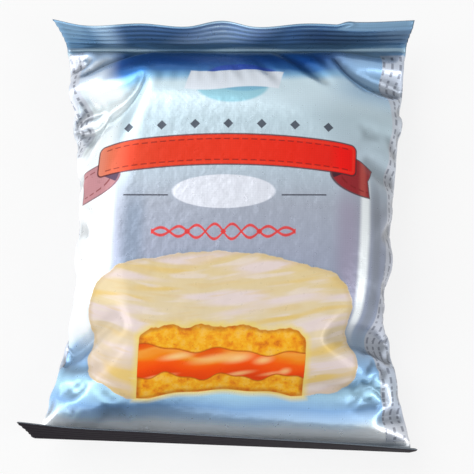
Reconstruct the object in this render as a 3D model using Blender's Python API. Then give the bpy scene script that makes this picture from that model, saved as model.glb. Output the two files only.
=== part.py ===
"""A sealed flow-wrap pack with one round filled cookie in it, lying on its back with its front up.

Metres, +Z up. +X runs across the pack, +Y from its bottom seal to its top seal, and its front faces +Z.
The origin is on the surface that the pack lies on, under the middle of the pack's box.

The film is one tube. Its front and back are one closed skin around the cookie, pressed together and
crimped at both ends, and its long back seam is folded flat against the back. The pack is shut, so it
is one solid.
"""

import bmesh
import bpy
import numpy as np

MM = 0.001

# The cookie that fills the pack, and the film over it
THICKNESS = 24.0 * MM  # from the back film to the front film, over the cookie
COOKIE_Y = 4.5 * MM  # the cookie sits nearer to the top seal
PLATEAU_RADIUS = 29.0 * MM  # the flat of the film over the cookie, inside its rounded rim
TOP_ROOT_Y = 45.0 * MM  # where the top seal starts
BOTTOM_ROOT_Y = -49.0 * MM
SLOPE_FOOT_Y = -39.0 * MM  # where the slope below the cookie runs out into flat film
SLOPE_FOOT_CURVE = 5.5  # how fast that foot bends up towards the sides, per metre
MIDDLE_Z = THICKNESS / 2
TOP_ROOT_Z = 11.5 * MM
BOTTOM_ROOT_Z = 9.0 * MM
SLACK = 1.6 * MM  # half the gap left between front and back film, away from the cookie

# The pack's two side lines: (y, half width there), left and right
LEFT_SIDE = ((-49, 46.2), (-42, 43), (-32, 39.4), (-20, 36), (0, 35.7), (17, 35.8), (45, 40.3))
RIGHT_SIDE = ((-49, 41.4), (-38, 39), (-24, 36.4), (-8, 37.4), (14, 39.8), (32, 41.4), (45, 43.2))

# The crimped end seals
SEAL_DEPTH = 10.0 * MM
SEAL_THICKNESS = 0.7 * MM
TOP_FLARE = (3.0 * MM, 1.6 * MM)  # how much wider a seal's two sides are at its cut edge than at its root
BOTTOM_FLARE = (3.0 * MM, 0.6 * MM)
BOTTOM_SLANT = -0.034  # the bottom seal runs aslant: its right end is lower down the pack than its left end
SLANT_FROM_Y = -15.0 * MM
BEND_LENGTH = 2.2 * MM  # the film turns up over this length where a seal starts
CRIMP_PITCH = 1.6 * MM
CRIMP_DEPTH = 0.22 * MM
TOP_LEAN = (67.0, 72.0, 69.0)  # degrees above the surface, at the left end, the middle and the right
BOTTOM_LEAN = (106.0, 96.5, 88.0)
FOLD_START = 0.45  # the top seal's right end is folded over from this share of the half width
FOLD_DEPTH = 3.0 * MM
FOLD_TURN = -66.0  # degrees

# The long seam on the back, folded flat
SEAM_HALF_WIDTH = 5.5 * MM
SEAM_STEP = 0.5 * MM
SEAM_EDGE = 0.25 * MM

# Dents where the film crumples round the cookie: (x, y, half width, half length, heading in degrees, depth)
FRONT_DENTS = (
    (-33.0, 25.0, 3.2, 9.0, 62.0, 2.6),
    (-30.5, 37.5, 2.4, 6.0, -28.0, 1.7),
    (34.5, 18.0, 3.0, 8.0, 118.0, 1.4),
    (33.5, -27.0, 3.0, 8.0, 40.0, 2.4),
    (30.0, -33.0, 2.6, 7.5, -38.0, 1.6),
    (-35.0, -25.5, 3.0, 7.0, 118.0, 2.2),
    (-27.0, -34.5, 3.0, 9.0, 24.0, 1.7),
)
BACK_DENTS = (
    (-31.0, 30.0, 3.0, 8.0, 58.0, 2.0),
    (32.0, 30.0, 3.0, 8.0, 122.0, 2.0),
    (31.0, -27.0, 3.0, 8.0, 45.0, 2.2),
    (-31.5, -27.0, 3.0, 8.0, -48.0, 2.2),
)

SEAL_ROWS = 12
BODY_ROWS = 30
HALF_COLUMNS = 21  # on each side of the pack's middle line

FILM = (0.62, 0.68, 0.76, 1.0)


def ease(share):
    """0 to 1 with a level start and end."""
    share = np.clip(share, 0.0, 1.0)
    return share * share * (3.0 - 2.0 * share)


def line_through(stations, at):
    """A smooth line through (y, value) stations in millimetres, read at y in metres."""
    places, values = (np.array(column) * MM for column in zip(*stations))
    slopes = np.gradient(values, places)
    span = np.clip(np.searchsorted(places, at) - 1, 0, len(places) - 2)
    length = places[span + 1] - places[span]
    share = np.clip((at - places[span]) / length, 0.0, 1.0)
    rise = values[span + 1] - values[span]
    start = slopes[span] * length
    end = slopes[span + 1] * length
    bend = 3 * rise - 2 * start - end
    return values[span] + share * (start + share * (bend + share * (start + end - 2 * rise)))


def side_lines(y):
    return -line_through(LEFT_SIDE, y), line_through(RIGHT_SIDE, y)


def cookie_edge(x):
    """Half the length of the flat over the cookie, at x, run out smoothly at its sides."""
    inside = np.maximum(PLATEAU_RADIUS**2 - x * x, 0.0)
    return np.sqrt(inside + (3.0 * MM) ** 2)


def fullness(x, y):
    """How far the film stands off the pack's middle plane, from 0 in the seals to 1 over the cookie."""
    above = y - COOKIE_Y - cookie_edge(x)
    below = COOKIE_Y - cookie_edge(x) - y
    top_run = TOP_ROOT_Y - COOKIE_Y - cookie_edge(x)
    foot = np.maximum(SLOPE_FOOT_Y + SLOPE_FOOT_CURVE * x * x, BOTTOM_ROOT_Y)
    bottom_run = COOKIE_Y - cookie_edge(x) - foot
    top = np.clip(above / top_run, 0.0, 1.0)
    bottom = np.clip(below / bottom_run, 0.0, 1.0)
    return (1.0 - top**1.35) * (1.0 - ease(bottom) ** 0.9)


def side_rounding(x, y):
    """The roundness of the pack's sides: 1 in the middle, and 0 at the side line."""
    left, right = side_lines(y)
    across = np.clip((2 * x - left - right) / (right - left), -1.0, 1.0)
    near_end = ease((np.abs(y - COOKIE_Y) - 18.0 * MM) / (26.0 * MM))
    power = 4.6 - 2.2 * near_end
    return (1.0 - np.abs(across) ** power) ** (1.0 / power)


def dents(places, x, y):
    """How deep the film's crumples are at (x, y)."""
    depth = np.zeros_like(x)
    for middle_x, middle_y, width, length, heading, deepest in places:
        turn = np.radians(heading)
        from_x, from_y = x - middle_x * MM, y - middle_y * MM
        along = (from_x * np.cos(turn) + from_y * np.sin(turn)) / (length * MM)
        across = (from_y * np.cos(turn) - from_x * np.sin(turn)) / (width * MM)
        depth += deepest * MM * np.exp(-along * along) / (1.0 + across * across) ** 2
    return depth


def film_height(x, y, places):
    """Half the pack's thickness at (x, y)."""
    rounding = side_rounding(x, y)
    full = fullness(x, y)
    slack = SLACK * ease((TOP_ROOT_Y - y) / (8.0 * MM)) * ease((y - BOTTOM_ROOT_Y) / (8.0 * MM))
    height = SEAL_THICKNESS / 2 + (slack + (MIDDLE_Z - slack - SEAL_THICKNESS / 2) * full) * rounding
    shallow = np.minimum(dents(places, x, y), 0.55 * np.maximum(height - SEAL_THICKNESS / 2, 0.0))
    return height - shallow


def middle_height(x, y):
    """The height of the pack's middle plane, which falls towards each seal past the cookie."""
    end = np.where(y > COOKIE_Y, TOP_ROOT_Z, BOTTOM_ROOT_Z)
    return MIDDLE_Z + (end - MIDDLE_Z) * (1.0 - fullness(x, y))


def seam(x):
    """1 under the folded seam of the back, 0 beside it."""
    return np.clip((SEAM_HALF_WIDTH + SEAM_EDGE - np.abs(x)) / SEAM_EDGE, 0.0, 1.0)


def columns():
    """Shares of the half width, from -1 at the left side line to 1 at the right one, close at the sides."""
    share = np.sin(np.linspace(0.0, np.pi / 2, HALF_COLUMNS + 1)[1:])
    seam_edges = np.array([SEAM_HALF_WIDTH, SEAM_HALF_WIDTH + SEAM_EDGE])
    return share, seam_edges


def across(left, right):
    """X of every column between two side lines. The seam's edges keep their place in every row."""
    share, edges = columns()
    half = []
    for side in (-left, right):
        places = np.sort(np.append(share * side, edges))
        half.append(places)
    return np.concatenate([-half[0][::-1], [0.0], half[1]])


def body_row(y):
    left, right = side_lines(np.array([y]))
    x = across(left[0], right[0])
    ys = np.full_like(x, y)
    middle = middle_height(x, ys)
    front = middle + film_height(x, ys, FRONT_DENTS)
    back = middle - film_height(x, ys, BACK_DENTS) - SEAM_STEP * seam(x)
    slanted = ys + BOTTOM_SLANT * x * ease((SLANT_FROM_Y - y) / (SLANT_FROM_Y - BOTTOM_ROOT_Y))
    return np.stack([x, slanted, front], axis=1), np.stack([x, slanted, back], axis=1)


def seal_row(reach, root_y, root_z, outwards, lean, flares, slant):
    """One row of an end seal, reach metres from its root. outwards is 1 at the top and -1 at the bottom."""
    left, right = side_lines(np.array([root_y]))
    widening = (reach / SEAL_DEPTH) ** 1.5
    x = across(left[0] - flares[0] * widening, right[0] + flares[1] * widening)
    share = x / right[0]
    final = np.radians(np.interp(share, (-1.0, 0.0, 1.0), lean))
    steps = np.linspace(0.0, reach, 25)
    turn = final[None, :] * ease(steps / BEND_LENGTH)[:, None]
    if outwards > 0:
        folded = ease((share - FOLD_START) / 0.1) * np.radians(FOLD_TURN)
        past = ease((steps - SEAL_DEPTH + FOLD_DEPTH) / (0.8 * MM))
        turn = turn + folded[None, :] * past[:, None]
    step = reach / (len(steps) - 1)
    along = (np.cos(turn[1:]) + np.cos(turn[:-1])).sum(axis=0) * step / 2
    up = (np.sin(turn[1:]) + np.sin(turn[:-1])).sum(axis=0) * step / 2
    end = turn[-1]
    ridge = CRIMP_DEPTH * np.cos(2 * np.pi * reach / CRIMP_PITCH) * ease((reach - BEND_LENGTH / 2) / MM)
    normal_y, normal_z = -outwards * np.sin(end), np.cos(end)
    rows = []
    for offset in (SEAL_THICKNESS / 2 + ridge, -SEAL_THICKNESS / 2 + ridge):
        thick = np.full_like(x, offset)
        thick[[0, -1]] = ridge
        y = root_y + slant * x + outwards * along + thick * normal_y
        rows.append(np.stack([x, y, root_z + up + thick * normal_z], axis=1))
    return rows


def rows():
    """Every (front, back) row of the skin, from the bottom seal's cut edge to the top seal's."""
    reaches = np.linspace(0.0, SEAL_DEPTH, SEAL_ROWS + 1)[1:]
    at_bottom = (BOTTOM_ROOT_Y, BOTTOM_ROOT_Z, -1, BOTTOM_LEAN, BOTTOM_FLARE, BOTTOM_SLANT)
    at_top = (TOP_ROOT_Y, TOP_ROOT_Z, 1, TOP_LEAN, TOP_FLARE, 0.0)
    bottom = [seal_row(reach, *at_bottom) for reach in reaches]
    top = [seal_row(reach, *at_top) for reach in reaches]
    body = [body_row(y) for y in np.linspace(BOTTOM_ROOT_Y, TOP_ROOT_Y, BODY_ROWS)]
    return bottom[::-1] + body + top


def skin_mesh(name):
    """The closed skin: a ring of points for each row, bridged to the next, and capped along the cut edges."""
    skin = bmesh.new()
    rings = []
    for front, back in rows():
        lower = [skin.verts.new(point) for point in back[1:-1]]
        upper = [skin.verts.new(point) for point in front]
        rings.append((upper, [upper[0], *lower, upper[-1]]))
    for (front, back), (next_front, next_back) in zip(rings, rings[1:]):
        for i in range(len(front) - 1):
            skin.faces.new((front[i], front[i + 1], next_front[i + 1], next_front[i]))
            skin.faces.new((back[i + 1], back[i], next_back[i], next_back[i + 1]))
    for front, back in (rings[0], rings[-1]):
        for i in range(len(front) - 1):
            corners = dict.fromkeys((front[i], front[i + 1], back[i + 1], back[i]))
            skin.faces.new(tuple(corners))
    bmesh.ops.recalc_face_normals(skin, faces=skin.faces)
    mesh = bpy.data.meshes.new(name)
    skin.to_mesh(mesh)
    skin.free()
    return mesh


def stand_on_origin(mesh):
    """Moves the mesh so that the middle of the foot of its box is at the origin."""
    points = np.empty(len(mesh.vertices) * 3)
    mesh.vertices.foreach_get("co", points)
    points = points.reshape(-1, 3)
    low, high = points.min(axis=0), points.max(axis=0)
    points -= ((low[0] + high[0]) / 2, (low[1] + high[1]) / 2, low[2])
    mesh.vertices.foreach_set("co", points.ravel())


def film_material():
    made = bpy.data.materials.new("printed metal film")
    made.use_nodes = True
    shader = made.node_tree.nodes["Principled BSDF"]
    shader.inputs["Base Color"].default_value = FILM
    shader.inputs["Metallic"].default_value = 0.6
    shader.inputs["Roughness"].default_value = 0.3
    return made


def build():
    for old in list(bpy.data.objects):
        bpy.data.objects.remove(old)
    mesh = skin_mesh("flow_pack")
    stand_on_origin(mesh)
    mesh.materials.append(film_material())
    mesh.shade_smooth()
    mesh.set_sharp_from_angle(angle=np.radians(40.0))
    pack = bpy.data.objects.new("flow_pack", mesh)
    bpy.context.scene.collection.objects.link(pack)


build()
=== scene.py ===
"""A sealed flow-wrap cookie pack, lying on its back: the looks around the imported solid.

The film is relaxed from its flat size over the cookie inside it, then pressed into facets at its corners.
The print is laid on the flat film, r across it and t along it, both from its middle.
Lengths are in millimetres until a mesh is made.
"""

import math

import bpy
import numpy as np
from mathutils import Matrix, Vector


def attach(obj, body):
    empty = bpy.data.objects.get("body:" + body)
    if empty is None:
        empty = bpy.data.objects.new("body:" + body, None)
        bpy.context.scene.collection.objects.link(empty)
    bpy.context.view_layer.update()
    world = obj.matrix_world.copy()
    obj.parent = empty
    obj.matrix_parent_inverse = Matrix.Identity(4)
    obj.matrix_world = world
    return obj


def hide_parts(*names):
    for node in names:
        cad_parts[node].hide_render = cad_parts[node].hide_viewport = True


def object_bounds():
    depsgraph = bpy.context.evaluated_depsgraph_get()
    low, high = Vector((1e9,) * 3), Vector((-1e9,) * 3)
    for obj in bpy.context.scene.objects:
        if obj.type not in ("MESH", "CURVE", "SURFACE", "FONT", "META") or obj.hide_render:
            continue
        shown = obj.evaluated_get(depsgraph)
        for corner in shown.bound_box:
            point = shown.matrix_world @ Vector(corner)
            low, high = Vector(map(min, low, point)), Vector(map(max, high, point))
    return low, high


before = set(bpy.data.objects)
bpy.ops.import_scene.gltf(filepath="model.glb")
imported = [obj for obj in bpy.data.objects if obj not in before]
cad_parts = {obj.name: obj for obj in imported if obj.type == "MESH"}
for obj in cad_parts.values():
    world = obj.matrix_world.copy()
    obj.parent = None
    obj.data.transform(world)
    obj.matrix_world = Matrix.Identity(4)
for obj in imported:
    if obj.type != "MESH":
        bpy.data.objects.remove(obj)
cad_low, cad_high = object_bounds()

MM = 0.001
ROOT = "root"
NODE = "flow_pack"

# ------------------------------------------------------------------ sizes of the pack

FILM_WIDTH = 86.2  # the flat tube, side to side
FILM_LENGTH = 104.5  # from seal to seal, along the film
TOP_Y, BOTTOM_Y = 45.0, -49.0  # where the seals start
TOP_Z, BOTTOM_Z = 11.5, 9.0
BOTTOM_SLANT = -0.034  # the bottom seal runs aslant, from here down
SLANT_FROM_Y = -15.0
LEFT_SIDE = ((-49, 46.2), (-42, 43), (-32, 39.8), (-20, 36.6), (0, 36.2), (17, 36.5), (32, 38.4), (45, 40.3))
RIGHT_SIDE = ((-49, 41.2), (-38, 38.4), (-31, 36.6), (-24, 35.4), (-8, 36.4), (14, 38.8), (32, 40.6), (45, 42.2))

COOKIE_Y = 4.5
COOKIE_RADIUS = 32.4
COOKIE_HALF = 11.5
COOKIE_EDGE = 6.5
COOKIE_Z = 12.5
CROWN = 24.4  # the highest the film stands over the cookie
TABLE = 0.5  # the back film lies this high, on its seam

# The fins: degrees that each stands up, at shares of the half width from left to right
TOP_LEAN = (
    (-1.0, 60), (-0.86, 72), (-0.5, 70), (-0.25, 76), (-0.06, 64), (0.1, 76), (0.4, 70), (0.75, 74), (1.0, 68),
)
BOTTOM_LEAN = ((-1.0, 108), (-0.8, 103), (-0.3, 99), (0.2, 95), (0.7, 91), (1.0, 87))
FIN_DEPTH = 10.0
FIN_HALF = 0.2
FIN_BEND = 2.0
CRIMP_PITCH = 1.6
CRIMP_DEPTH = 0.16
FOLD_AT = 0.56  # the top fin's cut edge is folded over to the right of this share
FOLD_DEPTH = 2.6
FOLD_TURN = -72.0

# Soft hollows in the film: x, y, half width, half length, heading in degrees, depth
DENTS = (
    (-33.0, 26.0, 4.0, 9.0, 62.0, 3.0),
    (32.0, -32.0, 4.0, 7.0, 40.0, 3.0),
    (-35.0, -25.5, 3.0, 8.0, 10.0, 2.2),
    (-30.0, -33.0, 3.0, 9.0, 24.0, 1.5),
    (35.0, 16.0, 3.0, 8.0, 118.0, 1.5),
)

# Sharp creases: the corners of a facet, its deepest point, and how deep it is (below zero, how high)
FACETS = (
    (((-37.5, 34.0), (-29.3, 28.2), (-35.0, 14.5), (-38.8, 24.0)), (-33.2, 25.2), 3.6),
    (((-39.0, 44.4), (-34.3, 43.0), (-35.7, 39.6), (-38.6, 41.0)), (-36.2, 42.0), 2.0),
    (((-40.5, -35.5), (-33.0, -36.4), (-34.3, -39.6), (-40.0, -40.0)), (-36.2, -37.6), 2.0),
    (((-32.5, -37.6), (-26.6, -42.2), (-24.4, -41.2), (-29.2, -37.4)), (-28.4, -39.7), -1.6),
    (((-31.0, -42.0), (-24.0, -42.5), (-22.0, -46.0), (-32.0, -46.0)), (-27.0, -44.0), 1.2),
    (((-38.5, -40.6), (-34.5, -42.0), (-37.0, -45.4)), (-36.6, -42.6), -0.9),
    (((32.6, -31.4), (36.0, -33.0), (35.0, -35.4), (30.8, -35.7)), (33.4, -33.9), 3.4),
    (((30.6, -36.0), (33.5, -36.8), (36.0, -41.6), (27.0, -42.2), (27.6, -38.0)), (31.4, -38.8), 2.4),
    (((31.0, -35.6), (34.5, -37.0), (36.8, -42.4), (33.2, -39.4)), (34.2, -38.8), -1.6),
    (((29.0, 24.0), (38.5, 21.0), (30.0, 19.0)), (32.5, 21.4), 0.8),
)

COARSE_ROWS, COARSE_RING = 49, 96
FIN_ROWS = 25


# ------------------------------------------------------------------ the film's shape

def ease(share):
    share = np.clip(share, 0.0, 1.0)
    return share * share * (3.0 - 2.0 * share)


def line_through(stations, at):
    """A smooth line through the stations, read at `at`."""
    places, values = (np.array(column, float) for column in zip(*stations))
    slopes = np.gradient(values, places)
    span = np.clip(np.searchsorted(places, at) - 1, 0, len(places) - 2)
    length = places[span + 1] - places[span]
    share = np.clip((at - places[span]) / length, 0.0, 1.0)
    rise = values[span + 1] - values[span]
    start, end = slopes[span] * length, slopes[span + 1] * length
    bend = 3 * rise - 2 * start - end
    return values[span] + share * (start + share * (bend + share * (start + end - 2 * rise)))


def cross_section(y, samples=400):
    """The front and back of the pack at y, before the film settles."""
    left, right = -line_through(LEFT_SIDE, y), line_through(RIGHT_SIDE, y)
    across = np.sin(np.linspace(-np.pi / 2, np.pi / 2, samples))
    x = (left + right) / 2 + across * (right - left) / 2
    edge = np.sqrt(np.maximum(29.0**2 - x * x, 0) + 9.0)
    if y > COOKIE_Y:
        end_z = TOP_Z
        full = 1 - np.clip((y - COOKIE_Y - edge) / (TOP_Y - COOKIE_Y - edge), 0, 1) ** 1.35
    else:
        end_z = BOTTOM_Z
        foot = np.maximum(-41.0 + 5.5e-3 * x * x, BOTTOM_Y)
        full = 1 - ease((COOKIE_Y - edge - y) / (COOKIE_Y - edge - foot)) ** 0.9
    power = 4.6 - 2.2 * ease((abs(y - COOKIE_Y) - 18) / 26)
    rounding = (1 - np.abs(across) ** power) ** (1 / power)
    slack = 1.6 * ease((TOP_Y - y) / 8) * ease((y - BOTTOM_Y) / 8)
    height = FIN_HALF + (slack + (12.0 - slack - FIN_HALF) * full) * rounding
    middle = COOKIE_Z + (end_z - COOKIE_Z) * (1 - full)
    front = np.stack([x, np.full(samples, y), middle + height], 1)
    back = np.stack([x, np.full(samples, y), middle - height], 1)
    return front, back


def even(curve, count):
    """The curve cut into `count` equal lengths."""
    along = np.r_[0, np.cumsum(np.linalg.norm(np.diff(curve, axis=0), axis=1))]
    at = np.linspace(0, along[-1], count + 1)
    return np.stack([np.interp(at, along, curve[:, axis]) for axis in range(3)], 1)


def unsettled_film():
    """Rows of rings: each ring runs left to right over the front, and back to the left under it."""
    half = COARSE_RING // 2
    film = np.zeros((COARSE_ROWS, COARSE_RING, 3))
    for row, y in enumerate(np.linspace(BOTTOM_Y, TOP_Y, COARSE_ROWS)):
        front, back = cross_section(y)
        film[row, :half] = even(front, half)[:-1]
        film[row, half:] = even(back, half)[::-1][:-1]
    low_down = ease((SLANT_FROM_Y - film[..., 1]) / (SLANT_FROM_Y - BOTTOM_Y))
    film[..., 1] += BOTTOM_SLANT * film[..., 0] * low_down
    return film


def push_in(film):
    """Starts the soft hollows off in the front of the film."""
    front = film[:, 1 : film.shape[1] // 2]
    for x, y, width, length, heading, depth in DENTS:
        turn = math.radians(heading)
        from_x, from_y = front[..., 0] - x, front[..., 1] - y
        along = (from_x * math.cos(turn) + from_y * math.sin(turn)) / length
        across = (from_y * math.cos(turn) - from_x * math.sin(turn)) / width
        front[..., 2] -= depth * np.exp(-along * along) / (1 + across * across) ** 2


def pull(one, other, free_one, free_other, length, strength, only_open=False):
    """Moves pairs of points towards the given distance."""
    gap = other - one
    distance = np.sqrt((gap * gap).sum(-1, keepdims=True)) + 1e-9
    share = strength * (distance - length) / (distance * (free_one + free_other + 1e-9))
    if only_open:
        share = np.minimum(share, 0)
    gap *= share
    one += free_one * gap
    other -= free_other * gap


def hold_lengths(film, free, ring_step, row_step, stiff):
    """One pass over the film's threads: round the rings, along the rows, aslant, and against bending."""
    rows, ring, _ = film.shape
    aslant = np.hypot(ring_step, row_step)
    aslant = (aslant[1:] + aslant[:-1]) / 2
    every = free.reshape(rows, 1, 1)
    for shift in (0, 1):
        turned = np.roll(film, -shift, axis=1)
        pairs = turned.reshape(rows, ring // 2, 2, 3)
        pull(pairs[:, :, 0], pairs[:, :, 1], every, every, ring_step, 1.0)
        film[:] = np.roll(turned, shift, axis=1)
    for first in (0, 1):
        last = first + 2 * ((rows - first) // 2)
        low, high = slice(first, last, 2), slice(first + 1, last, 2)
        pull(film[low], film[high], free[low], free[high], row_step, 1.0)
        for shift in (1, -1):
            turned = np.roll(film[high], -shift, axis=1)
            pull(film[low], turned, free[low], free[high], aslant[low], 0.35)
            film[high] = np.roll(turned, shift, axis=1)
    for shift in (0, 2):
        turned = np.roll(film, -shift, axis=1)
        fours = turned.reshape(rows, ring // 4, 4, 3)
        pull(fours[:, :, 0], fours[:, :, 2], every, every, 2 * ring_step, stiff, True)
        pull(fours[:, :, 1], fours[:, :, 3], every, every, 2 * ring_step, stiff, True)
        film[:] = np.roll(turned, shift, axis=1)
    for first in range(4):
        count = len(range(first + 2, rows, 4))
        low = slice(first, first + 4 * count - 3, 4)
        high = slice(first + 2, first + 4 * count - 1, 4)
        pull(film[low], film[high], free[low], free[high], 2 * row_step, stiff, True)


def keep_clear(film):
    """Keeps the film off the cookie, the table, its crown and its own other side."""
    x, y, z = film[..., 0], film[..., 1] - COOKIE_Y, film[..., 2] - COOKIE_Z
    radius = np.sqrt(x * x + y * y) + 1e-9
    out = radius - (COOKIE_RADIUS - COOKIE_EDGE)
    up = np.abs(z) - (COOKIE_HALF - COOKIE_EDGE)
    past_out, past_up = np.maximum(out, 0), np.maximum(up, 0)
    past = np.sqrt(past_out**2 + past_up**2)
    depth = COOKIE_EDGE - past - np.minimum(np.maximum(out, up), 0)
    push = np.maximum(depth, 0)
    deep = past < 1e-6
    side = np.where(deep, out > up, past_out / np.maximum(past, 1e-9))
    rise = np.where(deep, up >= out, past_up / np.maximum(past, 1e-9)) * np.sign(z)
    film[..., 0] += push * side * x / radius
    film[..., 1] += push * side * y / radius
    film[..., 2] = np.clip(film[..., 2] + push * rise, TABLE, CROWN)
    half = film.shape[1] // 2
    front, back = film[1:-1, 1:half, 2], film[1:-1, :half:-1, 2]
    overlap = np.maximum(back + 0.25 - front, 0) / 2
    film[1:-1, 1:half, 2] += overlap
    film[1:-1, :half:-1, 2] -= overlap


def hold_sides(film):
    """Draws the two side creases out to the pack's outline, where the film would pull them in."""
    for column, sign, side in ((0, -1, LEFT_SIDE), (film.shape[1] // 2, 1, RIGHT_SIDE)):
        crease = film[1:-1, column]
        short = line_through(side, crease[:, 1]) - sign * crease[:, 0]
        crease[:, 0] += sign * np.where(short > 0, 0.25, 0.15) * short


def outwards(film):
    round_ring = np.roll(film, -1, axis=1) - np.roll(film, 1, axis=1)
    along = np.gradient(film, axis=0)
    normal = np.cross(round_ring, along)
    return normal / (np.linalg.norm(normal, axis=-1, keepdims=True) + 1e-9)


def settle(film, steps, air, stiff=0.6):
    """Lets the film take its flat lengths again, with a little air inside it. Its two ends are held."""
    rows, ring, _ = film.shape
    free = np.ones((rows, 1, 1))
    free[0] = free[-1] = 0
    row_step = FILM_LENGTH / (rows - 1)
    along = np.linspace(0, FILM_LENGTH, rows)
    bottom_width = film[0, ring // 2, 0] - film[0, 0, 0]
    top_width = film[-1, ring // 2, 0] - film[-1, 0, 0]
    near_bottom, near_top = 1 - ease(along / 16), 1 - ease((FILM_LENGTH - along) / 16)
    width = FILM_WIDTH + (bottom_width - FILM_WIDTH) * near_bottom + (top_width - FILM_WIDTH) * near_top
    ring_step = (2 * width / ring)[:, None, None]
    before = film.copy()
    for _ in range(steps):
        carried = (film - before) * 0.85
        before = film.copy()
        film += (carried + outwards(film) * air) * free
        for _ in range(3):
            hold_lengths(film, free, ring_step, row_step, stiff)
            hold_sides(film)
            keep_clear(film)


def finer(film):
    """Twice the rows and twice the ring, on a smooth surface through the same points."""
    rows, ring, _ = film.shape
    after, before = np.roll(film, -1, 1), np.roll(film, 1, 1)
    rounder = np.zeros((rows, 2 * ring, 3))
    rounder[:, ::2] = film
    rounder[:, 1::2] = (9 * (film + after) - before - np.roll(film, -2, 1)) / 16
    longer = np.zeros((2 * rows - 1, 2 * ring, 3))
    longer[::2] = rounder
    longer[1::2] = (rounder[:-1] + rounder[1:]) / 2
    longer[3:-3:2] = (9 * (rounder[1:-2] + rounder[2:-1]) - rounder[:-3] - rounder[3:]) / 16
    return longer


def press(film):
    """Creases the front of the film into facets, each a shallow pyramid."""
    half = film.shape[1] // 2
    front = film[1:-1, 1:half]
    inwards = -outwards(film)[1:-1, 1:half]
    back = film[1:-1, :half:-1, 2]
    for corners, deepest, depth in FACETS:
        share = np.full(front.shape[:2], np.inf)
        for (x0, y0), (x1, y1) in zip(corners, corners[1:] + corners[:1]):
            across, along = y1 - y0, x1 - x0
            inside = across * (deepest[0] - x0) - along * (deepest[1] - y0)
            share = np.minimum(share, (across * (front[..., 0] - x0) - along * (front[..., 1] - y0)) / inside)
        front += depth * np.clip(share, 0, 1)[..., None] * inwards
        front[..., 2] = np.maximum(front[..., 2], back + 0.3)


def settled_film():
    film = unsettled_film()
    push_in(film)
    loose = np.random.default_rng(7).normal(0, 0.02, film.shape)
    film[1:-1] += loose[1:-1]
    settle(film, 250, 0.003)
    film = finer(film)
    settle(film, 110, 0.0015)
    press(film)
    settle(film, 4, 0.0)
    film = finer(film)
    film[1:-1, :, 2] = np.clip(film[1:-1, :, 2], TABLE, CROWN)
    return film


def fin(ring, outward, root_y, root_z, slant, leans, flare_left, flare_right, folded):
    """The rows of one crimped fin, from its root to its cut edge, as rings of the same count."""
    half = len(ring) // 2
    left, right = ring[0, 0], ring[half, 0]
    reaches = np.linspace(0, FIN_DEPTH, FIN_ROWS + 1)[1:]
    steps = np.linspace(0, FIN_DEPTH, 8 * FIN_ROWS + 1)
    share = np.linspace(-1, 1, half + 1)
    angles = np.radians(line_through(leans, share))
    turn = angles[None] * ease(steps / FIN_BEND)[:, None]
    if folded:
        fold = np.radians(FOLD_TURN) * ease((share - FOLD_AT) / 0.12)
        turn = turn + fold[None] * ease((steps - FIN_DEPTH + FOLD_DEPTH) / 0.9)[:, None]
    step = steps[1]
    along = np.vstack([np.zeros(half + 1), np.cumsum((np.cos(turn[1:]) + np.cos(turn[:-1])) * step / 2, 0)])
    up = np.vstack([np.zeros(half + 1), np.cumsum((np.sin(turn[1:]) + np.sin(turn[:-1])) * step / 2, 0)])
    rows = []
    for index, reach in enumerate(reaches, 1):
        at = 8 * index
        widening = (reach / FIN_DEPTH) ** 1.6
        low, high = left - flare_left * widening, right + flare_right * widening
        x = low + (share + 1) / 2 * (high - low)
        ridge = CRIMP_DEPTH * math.cos(2 * math.pi * reach / CRIMP_PITCH) * ease((reach - 1.0) / 0.8)
        ridge = ridge * (1 if reach < FIN_DEPTH - 0.3 else 0)
        half_gap = FIN_HALF if reach < FIN_DEPTH - 1e-6 else 0.0
        normal_y, normal_z = -outward * np.sin(turn[at]), np.cos(turn[at])
        rings = []
        for offset in (ridge + half_gap, ridge - half_gap):
            thick = np.full(half + 1, offset)
            thick[[0, -1]] = ridge
            y = root_y + slant * x + outward * along[at] + thick * normal_y
            rings.append(np.stack([x, y, root_z + up[at] + thick * normal_z], 1))
        rows.append(np.vstack([rings[0][:-1], rings[1][::-1][:-1]]))
    return np.array(rows)


film = settled_film()
bottom_fin = fin(film[0], -1, BOTTOM_Y, BOTTOM_Z, BOTTOM_SLANT, BOTTOM_LEAN, 3.0, 0.6, False)
top_fin = fin(film[-1], 1, TOP_Y, TOP_Z, 0.0, TOP_LEAN, 3.0, 1.6, True)
skin = np.concatenate([bottom_fin[::-1], film, top_fin])
body_t = np.linspace(-FILM_LENGTH / 2, FILM_LENGTH / 2, len(film))
fin_t = np.linspace(0, FIN_DEPTH, FIN_ROWS + 1)[1:]
along_film = np.concatenate([body_t[0] - fin_t[::-1], body_t, body_t[-1] + fin_t])


# ------------------------------------------------------------------ making meshes

def deselect_all():
    for thing in bpy.context.selected_objects:
        thing.select_set(False)


def sheet_of(points, name):
    """A flat grid whose points are moved to their places."""
    rows, columns, _ = points.shape
    deselect_all()
    bpy.ops.mesh.primitive_grid_add(x_subdivisions=columns - 1, y_subdivisions=rows - 1, size=1)
    piece = bpy.context.object
    piece.name = name
    piece.data.name = name
    piece.data.vertices.foreach_set("co", (points * MM).astype(np.float32).ravel())
    piece.data.update()
    return piece


def creasing(points):
    """How hollow the film is at each point, from -1 on a ridge to 1 in a valley: the mask for painted shade in the
    creases and painted light on the ridges.
    """
    reach = 3
    inner = np.pad(points[:, :-1], ((reach, reach), (0, 0), (0, 0)), mode="edge")
    beside = np.roll(points[:, :-1], reach, 1) + np.roll(points[:, :-1], -reach, 1)
    beside = beside + inner[2 * reach :] + inner[: -2 * reach]
    hollow = ((beside / 4 - points[:, :-1]) * outwards(points[:, :-1])).sum(-1)
    hollow = np.tanh(hollow / 0.22)
    return np.concatenate([hollow, hollow[:, :1]], axis=1)


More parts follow.
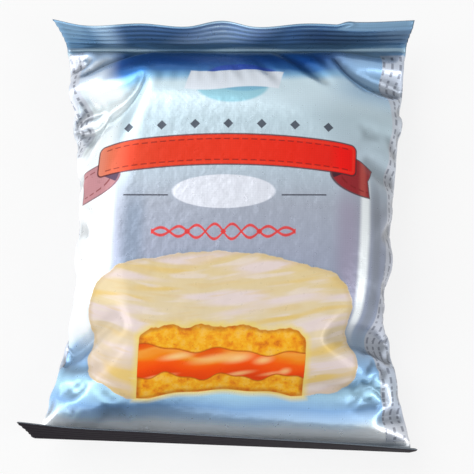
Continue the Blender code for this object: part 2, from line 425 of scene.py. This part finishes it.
def close_ends(piece):
    """Fills the two open ends of a tube made by sheet_of."""
    deselect_all()
    bpy.context.view_layer.objects.active = piece
    piece.select_set(True)
    bpy.ops.object.mode_set(mode="EDIT")
    bpy.ops.mesh.select_all(action="SELECT")
    bpy.ops.mesh.remove_doubles(threshold=1e-6)
    bpy.ops.mesh.select_all(action="DESELECT")
    bpy.ops.mesh.select_mode(type="EDGE")
    bpy.ops.mesh.select_non_manifold()
    bpy.ops.mesh.fill_holes(sides=0)
    bpy.ops.object.mode_set(mode="OBJECT")


def note_film_places(piece, across, along, hollow):
    """Keeps each corner's place on the flat film, and how hollow the film is there."""
    mesh = piece.data
    columns = len(across)
    corner_vertex = np.empty(len(mesh.loops), np.int32)
    mesh.loops.foreach_get("vertex_index", corner_vertex)
    column, row = corner_vertex % columns, corner_vertex // columns
    places = np.stack([across[column], along[row], hollow[row, column]], 1)
    film_place = mesh.attributes.new("film", "FLOAT_VECTOR", "CORNER")
    film_place.data.foreach_set("vector", places.astype(np.float32).ravel())
    return column, row


def lay_out(piece, u, v):
    """Gives the piece its one UV map."""
    mesh = piece.data
    while mesh.uv_layers:
        mesh.uv_layers.remove(mesh.uv_layers[0])
    layer = mesh.uv_layers.new(name="OFBake")
    layer.data.foreach_set("uv", np.stack([u, v], 1).astype(np.float32).ravel())


def finish_piece(piece, material):
    """Joins the grid's two long edges, turns its faces outwards, and gives it its material and body."""
    deselect_all()
    bpy.context.view_layer.objects.active = piece
    piece.select_set(True)
    bpy.ops.object.mode_set(mode="EDIT")
    bpy.ops.mesh.select_all(action="SELECT")
    bpy.ops.mesh.remove_doubles(threshold=1e-6)
    bpy.ops.mesh.normals_make_consistent(inside=False)
    bpy.ops.object.mode_set(mode="OBJECT")
    bpy.ops.object.shade_smooth()
    piece.data.materials.clear()
    piece.data.materials.append(material)
    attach(piece, ROOT)


def back_seam(skin, half_width=5.5, lift=0.15, crimp=0.07):
    """A closed strip under the back film, from seal to seal, standing on the table."""
    half = skin.shape[1] // 2
    rows = skin[FIN_ROWS : len(skin) - FIN_ROWS]
    steps = 16
    at = np.linspace(-half_width, half_width, steps + 1)
    under = []
    for row in rows:
        back = row[half + 8 : -8][::-1]
        under.append(np.stack([at, np.interp(at, back[:, 0], back[:, 1]), np.interp(at, back[:, 0], back[:, 2])], 1))
    upper = np.array(under)
    along = np.linspace(0, FILM_LENGTH, len(upper))
    ends = ease(along / 3) * ease((FILM_LENGTH - along) / 3)
    sag = TABLE * ends + crimp * (np.cos(2 * np.pi * along / 1.4) - 1) / 2 * -ends
    lower = upper.copy()
    lower[..., 2] -= sag[:, None]
    lower[..., 2] = np.maximum(lower[..., 2], 0.0)
    upper[..., 2] += lift
    ring = np.concatenate([upper, lower[:, ::-1], upper[:, :1]], axis=1)
    return ring, along - FILM_LENGTH / 2


# ------------------------------------------------------------------ finishes

PRINT_LEFT = 2.0
PRINT_TILT = 0.033


class Field:
    """A value that shader nodes work out, written as plain arithmetic."""

    def __init__(self, tree, socket):
        self.tree = tree
        self.socket = socket

    def made(self, operation, *others, clamp=False):
        node = self.tree.nodes.new("ShaderNodeMath")
        node.operation = operation
        node.use_clamp = clamp
        for place, value in enumerate((self, *others)):
            if isinstance(value, Field):
                self.tree.links.new(value.socket, node.inputs[place])
            else:
                node.inputs[place].default_value = value
        return Field(self.tree, node.outputs[0])

    def __add__(self, other):
        return self.made("ADD", other)

    __radd__ = __add__

    def __sub__(self, other):
        return self.made("SUBTRACT", other)

    def __rsub__(self, other):
        return self.made("MULTIPLY_ADD", -1.0, other)

    def __mul__(self, other):
        return self.made("MULTIPLY", other)

    __rmul__ = __mul__

    def __truediv__(self, other):
        return self.made("DIVIDE", other)

    def size(self):
        return self.made("ABSOLUTE")

    def low(self, other):
        return self.made("MINIMUM", other)

    def high(self, other):
        return self.made("MAXIMUM", other)

    def wave(self, length, shift=0.0):
        return self.made("MULTIPLY_ADD", 2 * math.pi / length, shift).made("SINE")

    def repeat(self, length):
        return self.made("PINGPONG", length)

    def inside(self, soft=0.16):
        """1 where this distance is below zero, and 0 where it is above, over a soft edge."""
        return self.made("MULTIPLY_ADD", -1.0 / soft, 0.5, clamp=True)

    def between(self, low, high):
        """0 at low and 1 at high, with a level start and end."""
        node = self.tree.nodes.new("ShaderNodeMapRange")
        node.interpolation_type = "SMOOTHSTEP"
        self.tree.links.new(self.socket, node.inputs["Value"])
        node.inputs["From Min"].default_value = low
        node.inputs["From Max"].default_value = high
        return Field(self.tree, node.outputs["Result"])


def length_of(x, y):
    return (x * x + y * y).made("SQRT")


def linear(red, green, blue):
    """A printed colour, from 0 to 255, as the light it gives back."""
    shares = [value / 255 for value in (red, green, blue)]
    return [s / 12.92 if s <= 0.04045 else ((s + 0.055) / 1.055) ** 2.4 for s in shares] + [1.0]


class Print:
    """Inks laid one over another on the film, and painted light and shade laid over them the same way."""

    def __init__(self, tree, ground):
        self.tree = tree
        self.color = ground  # a colour socket

    def ink(self, share, color):
        node = self.tree.nodes.new("ShaderNodeMix")
        node.data_type = "RGBA"
        node.clamp_factor = True
        self.tree.links.new(share.socket, node.inputs[0])
        self.tree.links.new(self.color, node.inputs[6])
        if isinstance(color, list):
            node.inputs[7].default_value = color
        else:
            self.tree.links.new(color, node.inputs[7])
        self.color = node.outputs[2]

    def shade(self, share, strength):
        """Darkens or lightens what is printed so far by share times strength."""
        node = self.tree.nodes.new("ShaderNodeMix")
        node.data_type = "RGBA"
        node.blend_type = "MULTIPLY"
        node.inputs[0].default_value = 1.0
        level = share * strength + 1.0
        grey = self.tree.nodes.new("ShaderNodeCombineColor")
        for socket in grey.inputs[:3]:
            self.tree.links.new(level.socket, socket)
        self.tree.links.new(self.color, node.inputs[6])
        self.tree.links.new(grey.outputs[0], node.inputs[7])
        self.color = node.outputs[2]


def ramp(tree, value, stops, low, high):
    """A colour that changes with value, through (place, colour) stops between low and high."""
    node = tree.nodes.new("ShaderNodeValToRGB")
    share = (value - low) / (high - low)
    tree.links.new(share.socket, node.inputs[0])
    elements = node.color_ramp.elements
    while len(elements) > 1:
        elements.remove(elements[-1])
    for index, (place, color) in enumerate(stops):
        element = elements[0] if index == 0 else elements.new((place - low) / (high - low))
        element.position = (place - low) / (high - low)
        element.color = linear(*color)
    return node.outputs[0]


def noise(tree, vector, scale, detail=3.0, rough=0.55, stretch=(1.0, 1.0, 1.0), turn=0.0):
    """Clouds, which stretch and turn make into strokes."""
    turned = tree.nodes.new("ShaderNodeMapping")
    turned.inputs["Rotation"].default_value = (0, 0, turn)
    tree.links.new(vector, turned.inputs["Vector"])
    place = tree.nodes.new("ShaderNodeMapping")
    place.inputs["Scale"].default_value = stretch
    tree.links.new(turned.outputs[0], place.inputs["Vector"])
    node = tree.nodes.new("ShaderNodeTexNoise")
    node.inputs["Scale"].default_value = scale
    node.inputs["Detail"].default_value = detail
    node.inputs["Roughness"].default_value = rough
    tree.links.new(place.outputs[0], node.inputs["Vector"])
    return Field(tree, node.outputs["Fac"])


def new_finish(name):
    made = bpy.data.materials.new(name)
    made.use_nodes = True
    tree = made.node_tree
    shader = tree.nodes["Principled BSDF"]
    return made, tree, shader


# The film's ground colour along it, mostly its print; the near-white stops just above the bottom seal are partly
# painted light, lifting a slope the lamps leave in shade.
GROUND = (
    (-62.0, (96, 104, 112)),
    (-54.0, (120, 134, 146)),
    (-52.2, (170, 180, 190)),
    (-50.8, (255, 255, 255)),
    (-48.0, (238, 244, 248)),
    (-45.4, (168, 198, 228)),
    (-42.6, (126, 166, 210)),
    (-39.0, (166, 208, 232)),
    (-33.0, (126, 166, 206)),
    (-27.0, (160, 186, 212)),
    (-21.0, (144, 154, 176)),
    (-6.0, (146, 153, 172)),
    (6.0, (153, 160, 174)),
    (16.0, (170, 186, 198)),
    (26.0, (176, 196, 206)),
    (31.0, (200, 220, 230)),
    (35.6, (206, 228, 238)),
    (37.6, (132, 184, 222)),
    (39.8, (48, 112, 180)),
    (44.0, (22, 82, 160)),
    (49.0, (32, 90, 158)),
    (52.0, (84, 122, 156)),
    (62.0, (112, 146, 174)),
)


# The printed cookie's outline: heading in degrees round its middle, and how far out it is
OUTLINE = (
    (-180.0, 31.6), (-176.0, 31.9), (-167.0, 32.4), (-152.0, 27.3), (-140.0, 25.1), (-90.0, 24.0), (-39.0, 26.0),
    (-28.0, 31.6), (-17.0, 33.6), (2.0, 30.7), (14.0, 31.0), (26.0, 29.2), (41.0, 24.0), (62.0, 20.4), (86.0, 18.5),
    (124.0, 21.3), (140.0, 25.8), (152.0, 29.4), (166.0, 31.6), (180.0, 31.6),
)


def outline_at(tree, heading, stations, most):
    """How far out an outline is at a heading, read off a smooth curve through its stations."""
    node = tree.nodes.new("ShaderNodeFloatCurve")
    curve = node.mapping.curves[0]
    for index, (place, reach) in enumerate(stations):
        at = ((place + 180.0) / 360.0, reach / most)
        if index < 2:
            curve.points[index].location = at
        else:
            curve.points.new(*at)
    node.mapping.update()
    share = heading / (2 * math.pi) + 0.5
    tree.links.new(share.socket, node.inputs["Value"])
    return Field(tree, node.outputs[0]) * most


def cookie_print(tree, art, r, t, vector):
    """The printed cookie: a cream disc seen from above its rim, cut flat at the foot."""
    x, y = r + 0.1, t + 24.1
    uneven = noise(tree, vector, 0.24, 3.0) * 2.0 - 1.0
    edge = length_of(x, y) - outline_at(tree, y.made("ARCTAN2", x), OUTLINE, 40.0) + uneven
    edge = edge.high((1.6 - x * x * 0.0062).high(0.0) - y - 15.7)
    art.ink((edge - 0.5).inside(1.6) * 0.35, linear(110, 130, 150))
    whole = edge.inside(0.2)
    art.ink(whole, ramp(tree, t + r * 0.08, CREAM, -42.0, -4.0))
    # the icing's strokes fan out: they fall to the right on the left side, and rise on the other
    fan = y - x * 0.16 - x.low(-2.0).made("POWER", 2.0) * 0.0085
    sweep = tree.nodes.new("ShaderNodeCombineXYZ")
    tree.links.new((x * 0.15).socket, sweep.inputs[0])
    tree.links.new(fan.socket, sweep.inputs[1])
    strokes = noise(tree, sweep.outputs[0], 0.21, 1.5, 0.45)
    art.ink(strokes.between(0.48, 0.58) * whole * 0.95, linear(232, 216, 214))
    art.ink(strokes.between(0.44, 0.34) * whole * 0.95, linear(230, 198, 118))
    fine = noise(tree, sweep.outputs[0], 0.5, 1.5, 0.5)
    art.ink(fine.between(0.53, 0.66) * whole * 0.7, linear(234, 220, 210))
    art.ink(fine.between(0.44, 0.34) * whole * 0.45, linear(226, 198, 140))
    art.ink(edge.between(-1.6, -0.1) * whole * 0.5, linear(206, 180, 134))
    return whole


CREAM = (
    (-42.0, (224, 204, 190)),
    (-36.0, (224, 204, 186)),
    (-28.0, (226, 208, 180)),
    (-20.0, (228, 210, 172)),
    (-13.0, (228, 208, 164)),
    (-6.0, (226, 204, 152)),
)

BISCUIT = (
    (0.28, (206, 104, 22)),
    (0.40, (238, 146, 22)),
    (0.52, (248, 180, 34)),
    (0.64, (250, 194, 76)),
    (0.80, (244, 190, 110)),
)

FILLING = (
    (-4.0, (226, 64, 0)),
    (-1.8, (246, 78, 0)),
    (0.0, (250, 96, 4)),
    (1.2, (244, 138, 24)),
    (2.2, (246, 160, 60)),
    (3.0, (238, 106, 14)),
    (4.0, (228, 78, 4)),
)


def bite_print(tree, art, r, t, vector):
    """What the cut in the cookie shows: a biscuit, a soft filling and a biscuit."""
    x, y = r - 1.0, t + 31.0
    lumps = noise(tree, vector, 0.28, 2.0)
    arch = y - 6.9 + x * x * 0.0025 + x * 0.03 + lumps * 2.2 + r.wave(9.0, 0.6) * 0.22
    over_x, over_y = (x.size() - 16.2).high(0.0), arch.high(0.0)
    edge = length_of(over_x, over_y) - 2.5
    foot = (1.6 - x * x * 0.0062).high(0.0) - y - 8.7 + x.wave(11.0, 1.2) * 0.22
    cut = edge.high(foot)
    art.ink((cut - 0.9).inside(1.4) * 0.8, linear(240, 214, 112))
    inside = cut.inside(0.2)
    grain = noise(tree, vector, 0.36, 4.0, 0.62)
    art.ink(inside, ramp(tree, grain, BISCUIT, 0.0, 1.0))
    freckles = noise(tree, vector, 1.5, 3.0, 0.7)
    art.ink(freckles.between(0.56, 0.72) * inside * 0.6, linear(206, 92, 34))
    art.ink(cut.between(-1.3, -0.1) * inside * 0.6, linear(170, 76, 26))
    top = y - 2.6 - r.wave(17.0, 0.9) * 0.55 - r.wave(8.0, 2.0) * 0.3 + x * 0.05
    low = (y + 3.4 - r.wave(13.0, 0.5) * 0.75 - r.wave(6.1, 1.0) * 0.35 + x * 0.03) * -1.0
    filling = top.high(low)
    art.ink((filling - 0.28).inside(0.4) * inside * 0.85, linear(178, 58, 10))
    swirl = y + r.wave(19.0, 2.2) * 0.9 + noise(tree, vector, 0.16, 2.0, 0.5, (0.5, 1.4, 1.0)) * 4.4 - 2.2
    body = filling.inside(0.25) * inside
    art.ink(body, ramp(tree, swirl, FILLING, -4.0, 4.0))
    for place, rise, width, tall, strength in GLINTS:
        spot = length_of((r - place) / width, (y - rise - (r - place) * 0.16) / tall) - 1.0
        art.ink(spot.between(0.5, -1.0) * body * strength, linear(255, 208, 138))
    return inside


GLINTS = (
    (-9.0, 1.5, 3.6, 0.8, 0.9),
    (-1.0, 0.9, 5.0, 1.0, 0.6),
    (4.6, 1.0, 3.4, 1.1, 0.9),
    (10.4, 0.5, 2.2, 1.0, 0.8),
    (5.0, -2.8, 3.4, 0.6, 0.7),
    (-12.5, -3.2, 3.4, 0.5, 0.8),
    (15.4, -2.4, 1.3, 0.9, 0.7),
    (12.6, -2.9, 3.0, 0.5, 0.5),
)


def dashes_on(art, line, r, room):
    """A row of stitches along a line, where there is room for it."""
    dashes = r.repeat(1.05) - 0.68
    art.ink((line.size() - 0.13).high(dashes).high(room).inside(0.16) * 0.75, linear(120, 22, 22))


def ribbon_print(art, r, t):
    """A red ribbon bowed across the pack, with its two tails folded behind it."""
    middle = t + r * r * 0.00315 - 18.8
    left_top = t - 14.0 - (r + 34.5) * 0.3
    left_low = length_of((r + 34.6) / 10.2, (t - 13.8).low(0.0) / 6.6) * 6.6 - 6.6
    left = left_top.high(left_low).high(-34.8 - r + (t - 10.8).size() * -0.16 + 0.3).high(r + 24.4)
    right_top = t - 16.1 + (r - 30.9) * 0.37
    right_low = length_of((34.5 - r) / 10.3, (t - 13.9).low(0.0) / 6.1) * 6.1 - 6.1
    notch = r - 33.2 - ((t - 11.7) * 0.71).high((11.7 - t) * 0.13)
    right = right_top.high(right_low).high(notch).high(24.2 - r)
    for tail, ink, rim in ((left, (196, 140, 146), (110, 60, 70)), (right, (146, 36, 42), (70, 16, 26))):
        art.ink((tail - 0.3).inside(0.2) * 0.9, linear(*rim))
        art.ink(tail.inside(), linear(*ink))
    # a painted highlight: a lighter streak down the right tail, where the pack's right side turns
    art.ink((r - 32.0).size().between(1.6, 0.2) * right.inside() * 0.5, linear(206, 96, 84))
    dashes_on(art, left_low + 1.1, r, left)
    dashes_on(art, left_top + 1.1, r, left)
    dashes_on(art, right_low + 1.1, r, right)
    # the shaded inner side of each fold
    fold_left = (12.8 - t - (r + 28.7) * 0.46).high(left).high(-28.7 - r)
    fold_right = (11.9 - t + (r - 24.6) * 0.42).high(right).high(r - 28.4)
    art.ink(fold_left.inside() * 0.95, linear(84, 64, 92))
    art.ink(fold_right.inside() * 0.95, linear(56, 28, 40))
    over_x, over_y = (r.size() - 28.7).high(0.0), (middle.size() - 2.4).high(0.0)
    band = length_of(over_x, over_y) - 1.1
    art.ink((band - 0.34).inside(0.2) * 0.95, linear(84, 34, 38))
    art.ink(band.inside(), ramp(art.tree, r, RED, -30.0, 30.0))
    # a painted highlight along the inside of the band's rim
    art.ink((band + 0.5).size().between(0.5, 0.0) * band.inside() * 0.12, linear(250, 120, 84))
    dashes_on(art, middle.size() - 2.5, r, r.size() - 28.4)
    return left.low(right).low(band).inside()


RED = (
    (-30.0, (226, 142, 118)),
    (-27.0, (228, 116, 84)),
    (-22.0, (230, 72, 40)),
    (-14.0, (230, 56, 24)),
    (-4.0, (232, 52, 22)),
    (14.0, (234, 38, 14)),
    (24.0, (226, 28, 12)),
    (26.0, (238, 16, 8)),
    (30.0, (232, 10, 6)),
)


def plates_print(art, r, t):
    """Bare plates and plain marks, where a label would stand."""
    x, y = r - 1.4, t - 36.6
    wavy = y - x.wave(24.0, 0.4) * 0.55
    for shift, drop, ink in ((2.0, 1.0, (36, 70, 184)), (-0.6, -1.8, (128, 190, 208))):
        swoosh = length_of((x - shift) / 8.6, (y - drop) / 4.6) * 4.6 - 4.6
        art.ink(swoosh.inside(0.5) * 0.8, linear(*ink))
    plate = ((x - y * 0.25).size() - 11.0).high(wavy.size() - 2.8)
    art.ink(plate.inside(0.3), linear(222, 230, 240))
    spots = (r - 0.2 + 3.85 * 7).made("MODULO", 7.7) - 3.85
    mark = (spots.size() + (t - 25.0 + r * r * 0.0018).size() - 1.15).high((r - 0.2).size() - 26.0)
    art.ink(mark.inside() * 0.9, linear(42, 46, 62))
    oval = length_of((r + 0.3) / 11.8, (t - 8.7) / 4.0) * 4.0 - 4.0
    art.ink(oval.inside(0.2), linear(206, 210, 220))
    rule = ((t - 7.8).size() - 0.16).high((r.size() - 18.1).size() - 5.1)
    art.ink(rule.inside(0.16) * 0.95, linear(40, 40, 56))
    for shift in (0.0, math.pi):
        height = 1.9 - r.size() * 0.07
        strand = ((t + 0.8 - r.wave(8.2, shift) * height).size() - 0.34).high(r.size() - 16.4)
        art.ink(strand.inside(0.22) * 0.95, linear(206, 50, 48))
    knot = (r.repeat(4.1).size() + (t + 0.8).size() - 0.7).high(r.size() - 16.4)
    art.ink(knot.inside(0.2), linear(206, 50, 48))
    return oval.low(plate)


def panel_print(art, r, t):
    """A pale panel down each side of the pack, short of its crimped ends."""
    sway = t.wave(90.0, 0.4) * 1.2
    right = (37.2 - r + sway).high(r - 74.0).high(t.size() - 51.0)
    left = (r + 38.6).low(100.0 - r).high(18.0 - t).high(t - 51.0)
    left = left.low((102.0 - r).high(t.size() - 51.0))
    inside = right.low(left).inside(0.3)
    art.ink(inside * 0.8, linear(190, 194, 204))
    return inside


def rows_of_dashes(tree, art, r, vector, panel):
    """Plain dashes along the film, where a panel carries small print."""
    line = (r + 0.4).repeat(1.1) - 0.34
    gap = noise(tree, vector, 0.9, 0.0, 0.5, (0.001, 1.0, 1.0)) - 0.54
    art.ink(line.inside(0.2) * (gap * 6.0).inside(0.4) * panel * 0.6, linear(70, 74, 92))


def painted_sheens_and_shade(art, r, t):
    """Painted light and shade on the film: painted highlights down its left and right sides and at its top left,
    painted shade beside them, and paler and tinted patches.
    """
    # painted highlights down the left side, and fainter ones over the top left
    side = r.between(-26.2, -30.2) * t.between(-30.0, -22.0) * t.between(40.0, 33.0)
    art.ink(side * 0.85, linear(244, 250, 252))
    art.ink(r.between(-24.0, -34.0) * t.between(14.0, 24.0) * t.between(37.0, 32.0) * 0.6, linear(226, 240, 244))
    # painted shade just inside the left highlight
    shaded = (r + 22.6).size().between(4.0, 0.5) * t.between(-30.0, -20.0) * t.between(12.0, 2.0)
    art.ink(shaded * 0.6, linear(116, 134, 156))
    # the top right paler, and a painted highlight in the top left corner
    pale = r.between(18.0, 31.0) * t.between(30.0, 36.0) * t.between(54.0, 51.0)
    art.ink(pale * 0.75, linear(150, 184, 212))
    corner = r.between(-27.5, -33.0) * t.between(32.0, 35.0) * t.between(54.0, 51.0)
    art.ink(corner * 0.85, linear(206, 218, 228))
    # a rosy tint, then a painted highlight down the right side with painted shade outside it
    rosy = (r - 26.6).size().between(4.6, 0.5) * t.between(-26.0, -14.0) * t.between(14.0, 4.0)
    art.ink(rosy * 0.55, linear(150, 138, 162))
    bright = (r - 30.6 - t * 0.02).size().between(1.9, 0.5) * t.between(-28.0, -18.0) * t.between(16.0, 8.0)
    art.ink(bright * 0.9, linear(240, 246, 248))
    dark = (r - 34.0).size().between(2.0, 0.4) * t.between(-28.0, -18.0) * t.between(16.0, 6.0)
    art.ink(dark * 0.6, linear(126, 132, 142))
    # on the top fin: a lighter icy middle and a slate right end, with painted highlights at its left root and along
    # its pale root
    icy = (r + 5.0 - (t - 57.0) * 1.2).size().between(14.0, 3.0) * (t - 58.6).size().between(4.6, 2.0)
    art.ink(icy * 0.75, linear(206, 230, 244))
    art.ink((r + 31.0).size().between(5.0, 0.5) * t.between(53.0, 56.0) * 0.6, linear(196, 220, 238))
    art.ink(r.between(12.0, 22.0) * (t - 57.5).size().between(4.0, 1.5) * 0.7, linear(54, 72, 98))
    art.ink((t - 52.2 - r.wave(34.0, 1.0) * 0.9).size().between(1.3, 0.2) * 0.6, linear(170, 200, 216))


def film_places(tree):
    """Where a point is on the flat film, across and along it, and how hollow the film is there."""
    place = tree.nodes.new("ShaderNodeAttribute")
    place.attribute_name = "film"
    split = tree.nodes.new("ShaderNodeSeparateXYZ")
    tree.links.new(place.outputs["Vector"], split.inputs[0])
    return [Field(tree, socket) for socket in split.outputs]


def flat_place(tree, r, t):
    flat = tree.nodes.new("ShaderNodeCombineXYZ")
    tree.links.new(r.socket, flat.inputs[0])
    tree.links.new(t.socket, flat.inputs[1])
    return flat.outputs[0]


def film_finish():
    made, tree, shader = new_finish("printed film and painted light")
    r, t, hollow = film_places(tree)
    # the artwork sits a little to the left of the film's middle, and square to the pack
    across = r + PRINT_LEFT
    along = t - across * PRINT_TILT
    vector = flat_place(tree, across, along)

    drift = noise(tree, vector, 0.045, 2.0) * 3.0 - 1.5
    band = across * -0.075 * t.between(20.0, 34.0) * t.between(50.0, 46.0)
    art = Print(tree, ramp(tree, t + drift + band, GROUND, -62.0, 62.0))
    painted_sheens_and_shade(art, r, t)
    panel = panel_print(art, r, t)
    rows_of_dashes(tree, art, r, vector, panel)
    plates_print(art, across, along)
    ribbon = ribbon_print(art, across, along)
    cookie = cookie_print(tree, art, across, along, vector)
    bite_print(tree, art, across, along, vector)
    opaque = cookie.high(ribbon * 0.9)

    # the back of the bottom fin is coloured nearly black
    low_back = (FILM_WIDTH / 2 - r).inside(0.1) * (t + 52.0).inside(0.3)
    art.ink(low_back, linear(30, 25, 32))
    opaque = opaque.high(low_back)

    # Painted light and shade: lighter where the surface faces left and towards the bottom seal, darker where it
    # faces right and towards the top seal; painted shade in the film's creases and painted light on its ridges; less
    # of all of it on the opaque inks.
    surface = tree.nodes.new("ShaderNodeNewGeometry")
    facing = tree.nodes.new("ShaderNodeSeparateXYZ")
    tree.links.new(surface.outputs["Normal"], facing.inputs[0])
    painted_light_weight = 1.0 - opaque * 0.65
    art.shade(Field(tree, facing.outputs[0]) * painted_light_weight, -0.26)
    art.shade(Field(tree, facing.outputs[1]) * painted_light_weight, -0.36)
    art.shade(hollow * painted_light_weight, -0.42)

    hatch = (r + t).wave(1.1) * (r - t).wave(1.1)
    art.shade(hatch * (1.0 - cookie), 0.035)
    art.shade(noise(tree, vector, 0.08, 3.0) - 0.5, 0.12)

    tree.links.new(art.color, shader.inputs["Base Color"])
    metal = (1.0 - opaque * 0.85) * 0.55
    tree.links.new(metal.socket, shader.inputs["Metallic"])
    rough = noise(tree, vector, 0.5, 3.0) * 0.10 + 0.24 + low_back * 0.3
    tree.links.new(rough.socket, shader.inputs["Roughness"])
    specular = 0.55 - opaque * 0.4
    tree.links.new(specular.socket, shader.inputs["Specular IOR Level"])

    height = noise(tree, vector, 0.35, 2.0, 0.5)
    bump = tree.nodes.new("ShaderNodeBump")
    bump.inputs["Strength"].default_value = 0.35
    bump.inputs["Distance"].default_value = 0.0003
    tree.links.new(height.socket, bump.inputs["Height"])
    tree.links.new(bump.outputs[0], shader.inputs["Normal"])
    return made


def seam_finish():
    """The folded back seam: plain silvery blue film with fine crimps across it."""
    made, tree, shader = new_finish("back seam film")
    r, t, _ = film_places(tree)
    vector = flat_place(tree, r, t)
    clouds = noise(tree, vector, 0.08, 3.0)
    art = Print(tree, ramp(tree, clouds, ((0.3, (150, 164, 184)), (0.7, (182, 194, 208))), 0.0, 1.0))
    # lighter and darker stripes, one to each crimp: painted light and shade on the crimps
    art.shade(t.wave(1.4), 0.06)
    tree.links.new(art.color, shader.inputs["Base Color"])
    shader.inputs["Metallic"].default_value = 0.55
    rough = noise(tree, vector, 0.5, 3.0) * 0.10 + 0.26
    tree.links.new(rough.socket, shader.inputs["Roughness"])
    return made


# ------------------------------------------------------------------ the pieces

def place_in_box(points):
    """Moves the pack from its own measures to its place in the frame."""
    low = np.array([cad_low[axis] / MM for axis in range(3)])
    high = np.array([cad_high[axis] / MM for axis in range(3)])
    own_low, own_high = points.reshape(-1, 3).min(0), points.reshape(-1, 3).max(0)
    shift = (low + high) / 2 - (own_low + own_high) / 2
    shift[2] = 0.0
    return points + shift, shift


finish = film_finish()
skin, shift = place_in_box(skin)
closed = np.concatenate([skin, skin[:, :1]], axis=1)
wrap = sheet_of(closed, "film_wrap")
ring = closed.shape[1] - 1
across_film = np.linspace(-FILM_WIDTH / 2, 1.5 * FILM_WIDTH, ring + 1)
column, row = note_film_places(wrap, across_film, along_film, creasing(closed))
# the bake map gives the front two thirds of its width
loops_first = np.empty(len(wrap.data.polygons), np.int32)
wrap.data.polygons.foreach_get("loop_start", loops_first)
low_column = np.minimum.reduceat(column, loops_first)
is_back = np.repeat(low_column >= ring // 2, 4)
share = column / (ring / 2)
u = np.where(is_back, 0.68 + 0.31 * (share - 1), 0.01 + 0.65 * share)
v = 0.01 + 0.98 * (along_film[row] - along_film[0]) / (along_film[-1] - along_film[0])
lay_out(wrap, u, v)
finish_piece(wrap, finish)
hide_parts(NODE)

strip, along_strip = back_seam(skin)
seam = sheet_of(strip, "back_seam")
girth = np.linspace(0, 24.0, strip.shape[1])
column, row = note_film_places(seam, girth, along_strip, np.zeros(strip.shape[:2]))
lay_out(seam, 0.02 + 0.96 * girth[column] / girth[-1], 0.02 + 0.96 * row / (len(strip) - 1))
close_ends(seam)
finish_piece(seam, seam_finish())


# ------------------------------------------------------------------ floor, light and camera

def white_stage():
    bpy.ops.mesh.primitive_plane_add(size=6.0, location=(0, 0, 0))
    floor = bpy.context.object
    floor.name = "floor"
    made, tree, shader = new_finish("white floor")
    shader.inputs["Base Color"].default_value = (0.9, 0.9, 0.9, 1)
    shader.inputs["Roughness"].default_value = 0.8
    path = tree.nodes.new("ShaderNodeLightPath")
    seen = Field(tree, path.outputs["Is Camera Ray"]).high(Field(tree, path.outputs["Is Glossy Ray"]))
    glow = tree.nodes.new("ShaderNodeEmission")
    both = tree.nodes.new("ShaderNodeMixShader")
    tree.links.new((seen * 0.8).socket, both.inputs[0])
    tree.links.new(shader.outputs[0], both.inputs[1])
    tree.links.new(glow.outputs[0], both.inputs[2])
    tree.links.new(both.outputs[0], tree.nodes["Material Output"].inputs["Surface"])
    floor.data.materials.append(made)


def world_light(level):
    world = bpy.data.worlds.new("studio")
    bpy.context.scene.world = world
    world.use_nodes = True
    tree = world.node_tree
    ground = tree.nodes["Background"]
    path = tree.nodes.new("ShaderNodeLightPath")
    seen = Field(tree, path.outputs["Is Camera Ray"]).high(Field(tree, path.outputs["Is Glossy Ray"]))
    seen = seen.high(Field(tree, path.outputs["Is Transmission Ray"]))
    ground.inputs["Color"].default_value = (1, 1, 1, 1)
    strength = seen * (1.0 - level) + level
    tree.links.new(strength.socket, ground.inputs["Strength"])


def softbox(name, place, size, watts, target=(0, 0, 0.01)):
    lamp = bpy.data.lights.new(name, "AREA")
    lamp.shape = "RECTANGLE"
    lamp.size, lamp.size_y = size
    lamp.energy = watts
    holder = bpy.data.objects.new(name, lamp)
    bpy.context.scene.collection.objects.link(holder)
    holder.location = place
    holder.rotation_euler = (Vector(target) - Vector(place)).to_track_quat("-Z", "Y").to_euler()


def camera(elevation, distance, width, aim):
    lens = bpy.data.cameras.new("camera")
    holder = bpy.data.objects.new("camera", lens)
    bpy.context.scene.collection.objects.link(holder)
    angle = math.radians(elevation)
    back = Vector((0, -math.cos(angle), math.sin(angle))) * distance
    holder.location = Vector(aim) + back
    holder.rotation_euler = (-back).to_track_quat("-Z", "Y").to_euler()
    lens.sensor_width = 36.0
    lens.lens = 36.0 * distance / width
    lens.clip_start = 0.01
    bpy.context.scene.camera = holder


white_stage()
world_light(0.42)
softbox("key", (-0.45, 0.25, 0.80), (0.7, 0.7), 3.8)
softbox("side", (-0.75, -0.05, 0.25), (0.3, 0.8), 1.3)
softbox("fill", (0.65, -0.25, 0.55), (0.4, 0.6), 1.5)
camera(77.0, 0.372, 0.1123, (0.0037, -0.0006, 0.012))
bpy.context.scene.view_settings.view_transform = "Standard"
